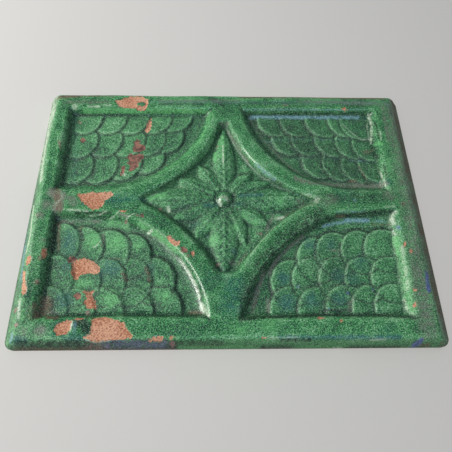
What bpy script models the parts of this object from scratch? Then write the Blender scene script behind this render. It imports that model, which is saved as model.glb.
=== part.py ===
"""Stove tile: a pressed clay plate with four fish-scale panels, curved bands and a leaf rosette.

Metres, +Z up. The tile lies on its back with the relief facing up and the long side along X.
The origin is the middle of the back.
"""
import functools
import math

import bmesh
import bpy
from mathutils import Matrix, Vector

MM = 0.001

# Plate
TILE_WIDTH = 240 * MM
TILE_DEPTH = 172 * MM
TILE_HEIGHT = 10.7 * MM
END_LEAN = 6.9 * MM
LONG_LEAN = 3.3 * MM
CORNER_RADIUS = 4.8 * MM
CORNER_STEPS = 4

# The plate's edges from the back up, upright at first: share of the height, share of the lean
EDGE_PROFILE = (
    (0.00, 0.00),
    (0.30, 0.00),
    (0.86, 0.80),
    (0.965, 1.02),
    (1.00, 1.30),
)

# The mould sat off the middle of the plate by this much, in X and Y
MOULD_SHIFT = (-1.0 * MM, 0.6 * MM)

# Corner panels, each by its place: the signs of X and Y
FAR_LEFT = (-1, 1)
FAR_RIGHT = (1, 1)
NEAR_LEFT = (-1, -1)
NEAR_RIGHT = (1, -1)
PLACES = (FAR_LEFT, FAR_RIGHT, NEAR_LEFT, NEAR_RIGHT)

# Lips of a panel: to the end and the long side of the tile, to the bar and to the join beside the rosette
PANEL_LIP_X = {FAR_LEFT: 105.4 * MM, FAR_RIGHT: 101.0 * MM, NEAR_LEFT: 104.2 * MM, NEAR_RIGHT: 103.4 * MM}
PANEL_LIP_Y = {FAR_LEFT: 72.6 * MM, FAR_RIGHT: 71.4 * MM, NEAR_LEFT: 71.8 * MM, NEAR_RIGHT: 72.6 * MM}
PANEL_BAR = {FAR_LEFT: 7.2 * MM, FAR_RIGHT: 6.8 * MM, NEAR_LEFT: 6.2 * MM, NEAR_RIGHT: 6.4 * MM}
PANEL_JOIN = {FAR_LEFT: 7.5 * MM, FAR_RIGHT: 9.5 * MM, NEAR_LEFT: 9.2 * MM, NEAR_RIGHT: 5.0 * MM}

# Curved side of a panel, and how far its curve cuts in beyond the lines of the join and the bar
PANEL_RADIUS = {FAR_LEFT: 71.5 * MM, FAR_RIGHT: 75.9 * MM, NEAR_LEFT: 76.7 * MM, NEAR_RIGHT: 98.0 * MM}
PANEL_CUT_X = {FAR_LEFT: 0.0, FAR_RIGHT: 0.0, NEAR_LEFT: 0.0, NEAR_RIGHT: 3.2 * MM}
PANEL_CUT_Y = {FAR_LEFT: 0.0, FAR_RIGHT: 0.0, NEAR_LEFT: 0.0, NEAR_RIGHT: 3.5 * MM}
PANEL_DEPTH = 5.5 * MM
PANEL_WALL_RUN = 6.0 * MM
PANEL_STEPS = 22

# Four-pointed field of the rosette; its left and near tips are blunt
FIELD_MIDDLE = (-0.5 * MM, 2.0 * MM)
FIELD_TIP_X = 58 * MM
FIELD_TIP_Y = 60 * MM
FIELD_END_LEFT = 52 * MM
FIELD_END_NEAR = 48 * MM
FIELD_SAG = {FAR_LEFT: 13.4 * MM, FAR_RIGHT: 10.5 * MM, NEAR_LEFT: 8.6 * MM, NEAR_RIGHT: 7.9 * MM}
FIELD_DEPTH = 5.6 * MM
FIELD_WALL_RUN = 3.0 * MM
FIELD_STEPS = 11

# Fish scales: round-ended plates that rise towards the rosette and overlap the next one
SCALE_RADIUS_X = 12.5 * MM
SCALE_RADIUS_Y = 14.0 * MM
SCALE_PITCH_X = 15.5 * MM
SCALE_PITCH_Y = 18.0 * MM
SCALE_STEP = 1.3 * MM
SCALE_HEIGHT = 0.9 * MM
SCALE_EDGE = 1.1 * MM
SCALE_ROOT = 2.5 * MM
SCALE_MARGIN = 1.6 * MM
SCALE_SIDES = 24

# Free corner of each scale, in millimetres from the middle of the tile along X and Y
FREE_CORNERS = {
    FAR_LEFT: (
        (82, 52), (66, 52), (51, 52), (36, 52.5), (22, 54.5),
        (83.5, 33), (67.5, 34), (52.5, 34), (39.5, 35), (27.5, 37.5),
        (84, 14), (68.5, 14), (53.5, 17), (39, 21.5),
    ),
    FAR_RIGHT: (
        (77, 49), (69, 50.5), (53.5, 50.5), (36.5, 50.5), (21, 51),
        (83, 31.5), (72, 33), (58.5, 34.5), (43, 35), (30, 36),
        (85, 15), (74, 14.5), (62, 16), (49, 17.5),
    ),
    NEAR_LEFT: (
        (85, 12.5), (71.5, 15), (56.5, 17), (44, 20),
        (86, 33), (71, 35), (57, 35.5), (42.5, 36), (29, 35),
        (87, 51.5), (72, 53), (56.5, 52.5), (40.5, 53), (24.5, 52),
    ),
    NEAR_RIGHT: (
        (81, 16.5), (67, 17.5), (52, 19), (40.5, 22.5),
        (82.5, 34.5), (67, 34.5), (52, 34.5), (36.5, 35), (24.5, 36.5),
        (82, 51.5), (69, 52), (54.5, 51.5), (39, 52.5), (23.5, 52.5),
    ),
}

# Rosette: each leaf has its angle in degrees from X, its reach from the boss and its width
BOSS_MIDDLE = (-1.4 * MM, 3.2 * MM)
BOSS_RADIUS = 5.2 * MM
BOSS_HEIGHT = 5.1 * MM
LEAF_ROOT = 2.0 * MM
LONG_LEAF_HEIGHT = 3.9 * MM
LONG_LEAVES = (
    (0, 58 * MM, 17 * MM),
    (90, 56 * MM, 15 * MM),
    (180, 52 * MM, 17 * MM),
    (-90, 50 * MM, 17 * MM),
)
LOBE_HEIGHT = 3.4 * MM
LOBES = (
    (48, 27 * MM, 12 * MM),
    (24, 33 * MM, 13 * MM),
    (-34, 33 * MM, 13 * MM),
    (-68, 33 * MM, 13 * MM),
    (124, 31 * MM, 13 * MM),
    (154, 36 * MM, 14 * MM),
    (204, 35 * MM, 14 * MM),
    (237, 33 * MM, 14 * MM),
)
SUNK_SHARE = 0.5

# Chips through the glaze, scooped from a little above the face: X, Y, half length, half width, degrees
CHIP_DEPTH = 0.5 * MM
CHIP_RISE = 0.12 * MM
CHIPS = (
    (-66.0 * MM, 80.4 * MM, 9.5 * MM, 4.6 * MM, -2.0),
    (-82.5 * MM, 4.0 * MM, 8.8 * MM, 5.2 * MM, -12.0),
    (-91.5 * MM, -76.0 * MM, 3.9 * MM, 3.6 * MM, 25.0),
    (-68.0 * MM, -77.3 * MM, 12.2 * MM, 5.4 * MM, -4.0),
)

# The least difference that counts
TOLERANCE = 0.01 * MM

PANEL_FLOOR = TILE_HEIGHT - PANEL_DEPTH
FIELD_FLOOR = TILE_HEIGHT - FIELD_DEPTH

# A hollow's wall from its foot up to just above the face: share of the depth, share of the wall's run
WALL_PROFILE = (
    (0.00, 1.00),
    (0.22, 0.62),
    (0.78, 0.14),
    (1.10, -0.30),
)

GLAZE_GREEN = (0.035, 0.16, 0.065, 1.0)
GLAZE_ROUGHNESS = 0.22


def clear_scene():
    for item in list(bpy.data.objects):
        bpy.data.objects.remove(item, do_unlink=True)


def new_collection(name, parent):
    group = bpy.data.collections.new(name)
    parent.children.link(group)
    return group


def add_object(name, bm, group):
    """Makes an object of the bmesh, with its faces turned outwards."""
    bmesh.ops.recalc_face_normals(bm, faces=bm.faces)
    mesh = bpy.data.meshes.new(name)
    bm.to_mesh(mesh)
    bm.free()
    item = bpy.data.objects.new(name, mesh)
    group.objects.link(item)
    return item


def add_tool(name, bm, group):
    """Adds a shape that only cuts or joins and is never shown itself."""
    tool = add_object(name, bm, group)
    tool.location.xy = MOULD_SHIFT
    tool.hide_render = True
    tool.display_type = "WIRE"
    return tool


def boolean(item, operation, operand):
    step = item.modifiers.new(operation.lower(), "BOOLEAN")
    step.operation = operation
    step.solver = "EXACT"
    if isinstance(operand, bpy.types.Collection):
        step.operand_type = "COLLECTION"
        step.collection = operand
    else:
        step.object = operand


def loft(sections):
    """Closed solid through sections with equally many points; each is (points, height)."""
    bm = bmesh.new()
    rings = []
    for points, height in sections:
        rings.append([bm.verts.new((x, y, height)) for x, y in points])
    for lower, upper in zip(rings, rings[1:]):
        for index in range(len(lower)):
            following = (index + 1) % len(lower)
            bm.faces.new((lower[index], lower[following], upper[following], upper[index]))
    bm.faces.new(rings[0][::-1])
    bm.faces.new(rings[-1])
    return bm


def wall_sections(outline, floor, depth, run):
    """Sections of a hollow with sloping walls."""
    return [(outline(inward * run), floor + share * depth) for share, inward in WALL_PROFILE]


def panel_outline(place, inset):
    """Corner panel: its outer corner, then the side that faces the rosette, at even steps."""
    side_x, side_y = place
    end_x = PANEL_LIP_X[place] - inset
    end_y = PANEL_LIP_Y[place] - inset
    bar = PANEL_BAR[place] + inset
    join = PANEL_JOIN[place] + inset
    radius = PANEL_RADIUS[place] - inset
    centre_x = join + radius - PANEL_CUT_X[place]
    centre_y = bar + radius - PANEL_CUT_Y[place]
    start = math.asin((centre_y - bar) / radius)
    stop = math.acos((centre_x - join) / radius)
    if centre_y > end_y:
        stop = max(stop, math.asin((centre_y - end_y) / radius))
    run_in = end_x - centre_x + radius * math.cos(start)
    turn = radius * (start - stop)
    run_out = max(end_y - centre_y + radius * math.sin(stop), 0.0)
    points = [(end_x, end_y)]
    for step in range(PANEL_STEPS + 1):
        along = (run_in + turn + run_out) * step / PANEL_STEPS
        past_turn = along - run_in - turn
        if along < run_in:
            points.append((end_x - along, bar))
        elif past_turn > TOLERANCE:
            points.append((join, end_y - run_out + past_turn))
        else:
            angle = start - (along - run_in) / radius
            points.append((centre_x - radius * math.cos(angle), centre_y - radius * math.sin(angle)))
    return [(side_x * x, side_y * y) for x, y in points]


def field_circle(place):
    """Circle of one side of the rosette's field, through two tips and bowed to the middle."""
    sag = FIELD_SAG[place]
    chord = math.hypot(FIELD_TIP_X, FIELD_TIP_Y)
    radius = chord ** 2 / (8 * sag) + sag / 2
    beyond = (radius - sag) / chord
    centre = Vector((
        place[0] * (FIELD_TIP_X / 2 + FIELD_TIP_Y * beyond),
        place[1] * (FIELD_TIP_Y / 2 + FIELD_TIP_X * beyond),
    ))
    return centre, radius


def circle_crossing(first, second):
    """Crossing of two circles that lies nearer the middle of the tile."""
    (centre_a, radius_a), (centre_b, radius_b) = first, second
    span = centre_b - centre_a
    reach = (span.length_squared + radius_a ** 2 - radius_b ** 2) / (2 * span.length)
    rise = math.sqrt(radius_a ** 2 - reach ** 2)
    along = span.normalized()
    foot = centre_a + along * reach
    across = Vector((-along.y, along.x)) * rise
    return min((foot + across, foot - across), key=lambda point: point.length)


def field_outline(inset):
    """Four bowed sides, from the right tip round by the far, left and near tips."""
    circles = []
    for place in (FAR_RIGHT, FAR_LEFT, NEAR_LEFT, NEAR_RIGHT):
        centre, radius = field_circle(place)
        circles.append((centre, radius + inset))
    points = []
    for index, (centre, radius) in enumerate(circles):
        begin = circle_crossing(circles[index - 1], circles[index]) - centre
        finish = circle_crossing(circles[index], circles[(index + 1) % 4]) - centre
        sweep = begin.angle_signed(finish)
        for step in range(FIELD_STEPS):
            point = centre + Matrix.Rotation(-sweep * step / FIELD_STEPS, 2) @ begin
            x = max(point.x, inset - FIELD_END_LEFT)
            y = max(point.y, inset - FIELD_END_NEAR)
            points.append((FIELD_MIDDLE[0] + x, FIELD_MIDDLE[1] + y))
    return points


def plate_outline(inset_x, inset_y):
    """Rectangle with rounded corners, counted round from the right end."""
    reach_x = TILE_WIDTH / 2 - inset_x - CORNER_RADIUS
    reach_y = TILE_DEPTH / 2 - inset_y - CORNER_RADIUS
    points = []
    for quarter, (side_x, side_y) in enumerate((FAR_RIGHT, FAR_LEFT, NEAR_LEFT, NEAR_RIGHT)):
        for step in range(CORNER_STEPS + 1):
            angle = math.pi / 2 * (quarter + step / CORNER_STEPS)
            points.append((
                side_x * reach_x + CORNER_RADIUS * math.cos(angle),
                side_y * reach_y + CORNER_RADIUS * math.sin(angle),
            ))
    return points


def make_plate(group):
    """Plate with an upright land at the back, leaning edges above it and a soft rim."""
    sections = []
    for rise, lean in EDGE_PROFILE:
        outline = plate_outline(lean * END_LEAN, lean * LONG_LEAN)
        sections.append((outline, rise * TILE_HEIGHT))
    return add_object("tile", loft(sections), group)


def make_hollows(group):
    for place in PLACES:
        outline = functools.partial(panel_outline, place)
        bm = loft(wall_sections(outline, PANEL_FLOOR, PANEL_DEPTH, PANEL_WALL_RUN))
        add_tool("panel_hollow", bm, group)
    bm = loft(wall_sections(field_outline, FIELD_FLOOR, FIELD_DEPTH, FIELD_WALL_RUN))
    add_tool("field_hollow", bm, group)


def make_scale(x, y, place, group):
    """One round scale with a bevelled edge, tilted up towards the rosette."""
    side_x, side_y = place
    bm = bmesh.new()
    bmesh.ops.create_cone(
        bm,
        cap_ends=True,
        segments=SCALE_SIDES,
        radius1=1.0,
        radius2=1.0 - SCALE_EDGE / SCALE_RADIUS_X,
        depth=SCALE_ROOT,
    )
    bmesh.ops.scale(bm, vec=(SCALE_RADIUS_X, SCALE_RADIUS_Y, 1.0), verts=bm.verts)
    height = PANEL_FLOOR + SCALE_HEIGHT - SCALE_ROOT / 2
    for vert in bm.verts:
        toward_x = -vert.co.x * side_x / SCALE_PITCH_X
        toward_y = -vert.co.y * side_y / SCALE_PITCH_Y
        vert.co.z += height + SCALE_STEP * (toward_x + toward_y)
        vert.co.x += x
        vert.co.y += y
    return add_tool("scale", bm, group)


def make_scales(place, tools, group):
    """Rows of scales over one panel, trimmed where the panel's wall begins."""
    side_x, side_y = place
    rest = new_collection("scales_of_a_panel", tools)
    first = None
    for free_x, free_y in FREE_CORNERS[place]:
        x = side_x * (free_x * MM + SCALE_RADIUS_X)
        y = side_y * (free_y * MM + SCALE_RADIUS_Y)
        scale = make_scale(x, y, place, tools if first is None else rest)
        first = first or scale
    boolean(first, "UNION", rest)
    outline = panel_outline(place, PANEL_WALL_RUN + SCALE_MARGIN)
    bottom = PANEL_FLOOR - SCALE_ROOT / 2
    field = add_tool("scaled_field", loft(((outline, bottom), (outline, TILE_HEIGHT - CHIP_DEPTH))), group)
    boolean(field, "INTERSECT", first)


def sink(height):
    """Flattens what lies below the floor of the field, so that it stays inside the plate."""
    return height if height > 0 else height * SUNK_SHARE


def make_leaf(name, angle, length, width, height, group):
    """Pointed leaf with a ridge along its middle, its lower half sunk in the floor of the field."""
    bm = bmesh.new()
    bmesh.ops.create_uvsphere(bm, u_segments=8, v_segments=10, radius=1.0)
    turn = Matrix.Rotation(math.radians(angle), 3, "Z")
    for vert in bm.verts:
        along = (vert.co.z + 1) / 2
        around = math.atan2(vert.co.y, vert.co.x)
        girth = math.sin(math.pi * along ** 0.85) ** 1.2 if 0 < along < 1 else 0.0
        across = math.sin(around) * girth * width / 2
        up = math.cos(around) * girth * height
        vert.co = turn @ Vector((LEAF_ROOT + along * length, across, sink(up)))
        vert.co.x += BOSS_MIDDLE[0]
        vert.co.y += BOSS_MIDDLE[1]
        vert.co.z += FIELD_FLOOR
    bmesh.ops.remove_doubles(bm, verts=bm.verts, dist=TOLERANCE)
    return add_tool(name, bm, group)


def make_rosette(group):
    """Four long leaves to the tips of the field, two lobes between each two, and the boss."""
    for angle, reach, width in LONG_LEAVES:
        make_leaf("long_leaf", angle, reach - LEAF_ROOT, width, LONG_LEAF_HEIGHT, group)
    for angle, reach, width in LOBES:
        make_leaf("lobe", angle, reach - LEAF_ROOT, width, LOBE_HEIGHT, group)
    bm = bmesh.new()
    bmesh.ops.create_uvsphere(bm, u_segments=20, v_segments=12, radius=1.0)
    bmesh.ops.scale(bm, vec=(BOSS_RADIUS, BOSS_RADIUS, BOSS_HEIGHT), verts=bm.verts)
    for vert in bm.verts:
        vert.co.x += BOSS_MIDDLE[0]
        vert.co.y += BOSS_MIDDLE[1]
        vert.co.z = FIELD_FLOOR + sink(vert.co.z)
    add_tool("boss", bm, group)


def make_chips(group):
    for x, y, half_length, half_width, turn in CHIPS:
        bm = bmesh.new()
        bmesh.ops.create_icosphere(bm, subdivisions=2, radius=1.0)
        bmesh.ops.scale(bm, vec=(half_length, half_width, CHIP_DEPTH + CHIP_RISE), verts=bm.verts)
        chip = add_tool("chip", bm, group)
        chip.location = (x, y, TILE_HEIGHT + CHIP_RISE)
        chip.rotation_euler.z = math.radians(turn)


def glaze_material():
    material = bpy.data.materials.new("green glaze on clay")
    material.use_nodes = True
    shader = material.node_tree.nodes["Principled BSDF"]
    shader.inputs["Base Color"].default_value = GLAZE_GREEN
    shader.inputs["Roughness"].default_value = GLAZE_ROUGHNESS
    shader.inputs["Metallic"].default_value = 0.0
    return material


def build():
    clear_scene()
    scene_root = bpy.context.scene.collection
    parts = new_collection("stove_tile", scene_root)
    tools = new_collection("stove_tile_tools", scene_root)
    hollows = new_collection("hollows", tools)
    relief = new_collection("relief", tools)
    chips = new_collection("chips", tools)
    tile = make_plate(parts)
    make_hollows(hollows)
    for place in PLACES:
        make_scales(place, tools, relief)
    make_rosette(relief)
    make_chips(chips)
    boolean(tile, "DIFFERENCE", hollows)
    boolean(tile, "UNION", relief)
    boolean(tile, "DIFFERENCE", chips)
    tile.data.materials.append(glaze_material())


build()
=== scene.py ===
import math

import bpy
import numpy as np
from mathutils import Matrix, Vector


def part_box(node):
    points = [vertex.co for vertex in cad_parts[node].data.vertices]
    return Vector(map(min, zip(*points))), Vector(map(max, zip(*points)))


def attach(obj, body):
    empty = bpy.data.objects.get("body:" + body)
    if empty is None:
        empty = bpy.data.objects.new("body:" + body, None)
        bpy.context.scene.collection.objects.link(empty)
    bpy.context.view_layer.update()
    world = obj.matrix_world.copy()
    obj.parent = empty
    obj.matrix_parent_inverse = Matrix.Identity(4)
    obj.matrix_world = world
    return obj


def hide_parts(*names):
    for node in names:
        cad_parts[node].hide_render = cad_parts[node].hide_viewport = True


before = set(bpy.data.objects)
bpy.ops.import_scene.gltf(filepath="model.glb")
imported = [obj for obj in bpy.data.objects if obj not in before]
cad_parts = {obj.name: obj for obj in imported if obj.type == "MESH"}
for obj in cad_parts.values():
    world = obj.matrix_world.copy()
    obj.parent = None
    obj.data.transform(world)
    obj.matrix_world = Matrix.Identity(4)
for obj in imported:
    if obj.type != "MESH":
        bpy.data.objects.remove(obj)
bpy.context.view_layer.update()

# The viewpoint: a camera held over the near edge of the tile, looking steeply down at it.
# Its place is in millimetres from the middle of the tile's back. The picture is square, and the focal length
# is in its pixels.
MM = 0.001
PICTURE = 452
FOCAL_LENGTH = 450
SENSOR = 36.0
CAMERA_PLACE = (-10.1, -132.5, 248.8)
LOOKING_DOWN = math.radians(63.96)
LOOKING_RIGHT = math.radians(4.18)
ROLLED = math.radians(-3.82)

forward = Vector((
    math.sin(LOOKING_RIGHT) * math.cos(LOOKING_DOWN),
    math.cos(LOOKING_RIGHT) * math.cos(LOOKING_DOWN),
    -math.sin(LOOKING_DOWN),
))
level_right = Vector((math.cos(LOOKING_RIGHT), -math.sin(LOOKING_RIGHT), 0))
level_down = forward.cross(level_right)
picture_right = math.cos(ROLLED) * level_right + math.sin(ROLLED) * level_down
picture_down = math.cos(ROLLED) * level_down - math.sin(ROLLED) * level_right

camera_data = bpy.data.cameras.new("camera")
camera_data.sensor_width = SENSOR
camera_data.lens = SENSOR * FOCAL_LENGTH / PICTURE
camera_data.clip_start = 0.01
camera_data.clip_end = 20
camera = bpy.data.objects.new("camera", camera_data)
turned = Matrix((picture_right, -picture_down, -forward)).transposed().to_4x4()
camera.matrix_world = Matrix.Translation(Vector(CAMERA_PLACE) * MM) @ turned
bpy.context.scene.collection.objects.link(camera)
bpy.context.scene.camera = camera


def seen_at(column, row, height):
    """Place on the level of that height, in millimetres, that the picture shows at this pixel."""
    ray = (
        forward * FOCAL_LENGTH
        + picture_right * (column - PICTURE / 2)
        + picture_down * (row - PICTURE / 2)
    )
    reach = (height - CAMERA_PLACE[2]) / ray.z
    return CAMERA_PLACE[0] + ray.x * reach, CAMERA_PLACE[1] + ray.y * reach


# The plate: a slab of stove clay pressed into a mould and trimmed along its four edges.
# The trimmed edges stand upright at the back and lean in above that to a soft rim.
half_width, half_depth, rim_height = (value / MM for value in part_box("tile")[1])
EDGE_LAND = 3.2
LEFT_LEAN = 6.6
RIGHT_LEAN = 7.6
LONG_LEAN = 3.3
LEAN_WANDER = 0.12
CORNER_RADIUS = 4.8
RIM_DIP = 0.15
RIM_WANDER = 0.12
END_ROUNDING = 1.6
SIDE_ROUNDING = 1.3
CORNER_RIM = 0.98
COLUMNS = 340
ROWS = 244

across = np.linspace(-half_width, half_width, COLUMNS + 1)
along = np.linspace(-half_depth, half_depth, ROWS + 1)
flat_x, flat_y = np.meshgrid(across, along)


def waviness(x, y, size, seed):
    """Smooth random values between -1 and 1 that change over about this size."""
    knots = np.random.default_rng(seed).uniform(-1, 1, (128, 128))
    column, row = x / size + 64.5, y / size + 64.5
    left, below = np.floor(column).astype(int), np.floor(row).astype(int)
    fraction_x, fraction_y = column - left, row - below
    fraction_x = fraction_x * fraction_x * (3 - 2 * fraction_x)
    fraction_y = fraction_y * fraction_y * (3 - 2 * fraction_y)
    left, below = left % 127, below % 127
    near = knots[below, left] * (1 - fraction_x) + knots[below, left + 1] * fraction_x
    far = knots[below + 1, left] * (1 - fraction_x) + knots[below + 1, left + 1] * fraction_x
    return near * (1 - fraction_y) + far * fraction_y


def rough_waviness(x, y, size, seed, octaves=3):
    """The same with finer and weaker waves added."""
    total = np.zeros_like(x)
    for octave in range(octaves):
        total += waviness(x, y, size / 2 ** octave, seed + octave) / 2 ** octave
    return total / 1.6


def smooth_step(value):
    """Rises from 0 to 1 with soft ends."""
    share = np.clip(value, 0, 1)
    return share * share * (3 - 2 * share)


def soft_min(first, second, blend):
    """The lower of two values, rounded where they cross."""
    share = np.clip(0.5 + 0.5 * (second - first) / blend, 0, 1)
    return second * (1 - share) + first * share - blend * share * (1 - share)


def soft_max(first, second, blend):
    """The higher of two values, rounded where they cross."""
    return -soft_min(-first, -second, blend)


def swell(distance, middle, width):
    """Soft line that is 1 at the middle and fades out over the width."""
    return np.exp(-((distance - middle) / width) ** 2)


# The square corners of the plan grid are drawn in to the rounded corners of the plate.
corner_x = np.clip(np.abs(flat_x) - (half_width - CORNER_RADIUS), 0, None) / CORNER_RADIUS
corner_y = np.clip(np.abs(flat_y) - (half_depth - CORNER_RADIUS), 0, None) / CORNER_RADIUS
drawn_x = CORNER_RADIUS * corner_x * (1 - np.sqrt(1 - corner_y ** 2 / 2))
drawn_y = CORNER_RADIUS * corner_y * (1 - np.sqrt(1 - corner_x ** 2 / 2))
plan_x = flat_x - np.sign(flat_x) * drawn_x
plan_y = flat_y - np.sign(flat_y) * drawn_y

uneven = 1 + LEAN_WANDER * waviness(plan_x, plan_y, 30, 3)
climb = rim_height - EDGE_LAND
end_lean = np.where(plan_x < 0, LEFT_LEAN, RIGHT_LEAN) * uneven
up_end = EDGE_LAND + (half_width - np.abs(plan_x)) * climb / end_lean
up_side = EDGE_LAND + (half_depth - np.abs(plan_y)) * climb / (LONG_LEAN * uneven)
rim = rim_height - RIM_DIP + RIM_WANDER * waviness(plan_x, plan_y, 45, 4)
relief = soft_min(soft_min(rim, up_end, END_ROUNDING), up_side, SIDE_ROUNDING)
on_corner = np.hypot(np.clip(corner_x, 0, 1), np.clip(corner_y, 0, 1))
relief = np.where(on_corner > CORNER_RIM, EDGE_LAND, relief)

# What the mould pressed in sits a little askew on the plate, and its lines wander slightly.
MOULD_SHIFT = (-1.0, 0.6)
MOULD_SKEW = (0.0065, 0.002)
LINE_WANDER = 0.4
WANDER_SIZE = 34
pattern_x = plan_x - MOULD_SHIFT[0] - MOULD_SKEW[0] * plan_y
pattern_x += LINE_WANDER * waviness(plan_x, plan_y, WANDER_SIZE, 5)
pattern_y = plan_y - MOULD_SHIFT[1] - MOULD_SKEW[1] * plan_x
pattern_y += LINE_WANDER * waviness(plan_x, plan_y, WANDER_SIZE, 6)

# The hollows: four corner panels with one curved side each, and the four-pointed field between them.
# Their walls are steep at the lip and run out softly to the floor; rounded bands are left between them.
FAR_LEFT, FAR_RIGHT, NEAR_LEFT, NEAR_RIGHT = (-1, 1), (1, 1), (-1, -1), (1, -1)


def on_each(far_left, far_right, near_left, near_right):
    """One value for each corner panel."""
    return {FAR_LEFT: far_left, FAR_RIGHT: far_right, NEAR_LEFT: near_left, NEAR_RIGHT: near_right}


PANEL_LIP_X = on_each(105.4, 101.0, 104.2, 103.4)
PANEL_LIP_Y = on_each(72.6, 71.4, 71.8, 72.6)
PANEL_BAR = on_each(6.9, 7.2, 6.4, 5.2)
PANEL_BAR_SLANT = on_each(0, 0, 0, 0.055)
PANEL_JOIN = on_each(7.6, 9.6, 9.2, 5.0)
PANEL_RADIUS = on_each(71.5, 75.9, 77.2, 98.6)
PANEL_CENTRE = on_each((79.0, 78.7), (85.4, 82.7), (85.9, 82.9), (99.8, 100.9))
PANEL_DEPTH = 5.5
END_WALL = on_each((4.2, 0.35, 11), (5.0, 0.15, 8), (4.6, 0.3, 10), (6.6, 0.1, 9))
SIDE_WALL = on_each((6.4, 0.1, 9), (3.6, 0.4, 9), (4.8, 0.1, 8), (4.8, 0.1, 8))
CURVED_WALL = on_each((7.5, 0.3, 13), (4.2, 0.4, 12), (3.6, 0.4, 11), (3.2, 0.4, 11))
BAND_ROUNDING = on_each(1.8, 1.8, 1.1, 0.9)
LIP_ROUNDING = 0.9
BAR_CORNER = 1.5
CURVE_CORNER = 1.0
WALL_CORNER = 0.15
CURVED_WALL_CORNER = 0.12
FIELD_MIDDLE = (-0.5, 2.0)
FIELD_LEFT, FIELD_RIGHT, FIELD_NEAR, FIELD_FAR = -58.5, 56.0, -58.0, 60.5
FIELD_END_LEFT = 54.0
FIELD_END_NEAR = 50.0
FIELD_END_RUN = 6.0
FIELD_CENTRE = on_each((90.0, 84.9), (83.5, 80.9), (99.2, 95.3), (104.9, 101.8))
FIELD_RADIUS = on_each(88.9, 84.5, 105.5, 114.1)
FIELD_DEPTH = 5.0
FIELD_WALL_RUN = 2.2
FIELD_SHADED_RUN = 4.6
FIELD_LIP_ROUNDING = 1.5
FIELD_TIP_CORNER = 2.0
SHADED_TO_LIT = 12
FAR_AWAY = 1e3


def ease(share):
    """Rises from 0 to 1 along half a wave."""
    share = np.clip(share, 0, 1)
    return 0.5 - 0.5 * np.cos(math.pi * share)


def sunk(distance, run, rounding):
    """Share of the depth that a sloping wall has come down at this distance inside its lip."""
    return ease((distance + rounding) / (run + rounding))


def wall(distance, shape, rounding):
    """The same for a wall with a soft foot: its run, the foot's share of the depth and the foot's run."""
    run, foot_share, foot_run = shape
    return (1 - foot_share) * sunk(distance, run, rounding) + foot_share * sunk(distance, foot_run, 0)


def into_curve(place):
    """Distance inside the curved side of a panel and its two straight ends."""
    x, y = place[0] * pattern_x, place[1] * pattern_y
    centre_x, centre_y = PANEL_CENTRE[place]
    curved = PANEL_RADIUS[place] - np.hypot(x - centre_x, y - centre_y)
    curved = np.where(x > centre_x, y - centre_y + PANEL_RADIUS[place], curved)
    curved = np.where(y > centre_y, x - centre_x + PANEL_RADIUS[place], curved)
    bar = PANEL_BAR[place] + PANEL_BAR_SLANT[place] * (PANEL_LIP_X[place] - x)
    straight = soft_min(y - bar, x - PANEL_JOIN[place], BAR_CORNER)
    return soft_min(curved, straight, CURVE_CORNER)


def into_field():
    """Distance inside the four bowed sides of the rosette's field and its blunt tips."""
    inside_x = np.minimum(pattern_x - FIELD_LEFT, FIELD_RIGHT - pattern_x)
    inside_y = np.minimum(pattern_y - FIELD_NEAR, FIELD_FAR - pattern_y)
    inside = soft_min(inside_x, inside_y, FIELD_TIP_CORNER)
    for place, (centre_x, centre_y) in FIELD_CENTRE.items():
        from_centre = np.hypot(place[0] * pattern_x - centre_x, place[1] * pattern_y - centre_y)
        inside = np.minimum(inside, from_centre - FIELD_RADIUS[place])
    return inside


panel_floor = rim_height - PANEL_DEPTH
field_floor = rim_height - FIELD_DEPTH
in_panel = np.full_like(plan_x, -FAR_AWAY)
from_frame = np.full_like(plan_x, -FAR_AWAY)
for place in PANEL_RADIUS:
    end_side = PANEL_LIP_X[place] - place[0] * pattern_x
    long_side = PANEL_LIP_Y[place] - place[1] * pattern_y
    curved_side = into_curve(place)
    end_drop = wall(end_side, END_WALL[place], LIP_ROUNDING)
    side_drop = wall(long_side, SIDE_WALL[place], LIP_ROUNDING)
    curved_drop = wall(curved_side, CURVED_WALL[place], BAND_ROUNDING[place])
    drop = soft_min(soft_min(end_drop, side_drop, WALL_CORNER), curved_drop, CURVED_WALL_CORNER)
    relief -= PANEL_DEPTH * np.maximum(drop, 0)
    in_panel = np.maximum(in_panel, np.minimum(np.minimum(end_side, long_side), curved_side))
    from_frame = np.maximum(
        from_frame, np.minimum(end_side - END_WALL[place][0], long_side - SIDE_WALL[place][0])
    )
in_field = into_field()
to_left = smooth_step(0.5 - (pattern_x - FIELD_MIDDLE[0]) / SHADED_TO_LIT)
field_run = FIELD_WALL_RUN + (FIELD_SHADED_RUN - FIELD_WALL_RUN) * to_left
field_drop = sunk(in_field, field_run, FIELD_LIP_ROUNDING)
field_drop *= smooth_step((pattern_y - FIELD_MIDDLE[1] + FIELD_END_NEAR) / FIELD_END_RUN)
field_drop *= smooth_step((pattern_x - FIELD_MIDDLE[0] + FIELD_END_LEFT) / FIELD_END_RUN)
relief -= FIELD_DEPTH * field_drop

# Fish scales: rows of round-ended scales pressed over each panel, with their free ends to the rosette.
# Each one rises towards its free end and lies over the next, as slates do.
SCALE_RADIUS_X = 12.5
SCALE_RADIUS_Y = 14.0
SCALE_HEIGHT = 0.7
SCALE_STEP = on_each(0.85, 1.2, 1.1, 1.2)
SCALE_PITCH_X = 15.5
SCALE_PITCH_Y = 18.0
SCALE_CROWN = 0.2
SCALE_EDGE = 1.1
WORN_EDGE = 1.6
SCALE_SINK = 1.6
SCALE_SINK_DEPTH = 1.2
SCALE_DROP = 2.4
SCALE_LIP = 0.12
SCALE_FOOT = 0.35
SCALE_MARGIN = 2
TINT_MARGIN = 3
GAP_END = 0.4
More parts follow.
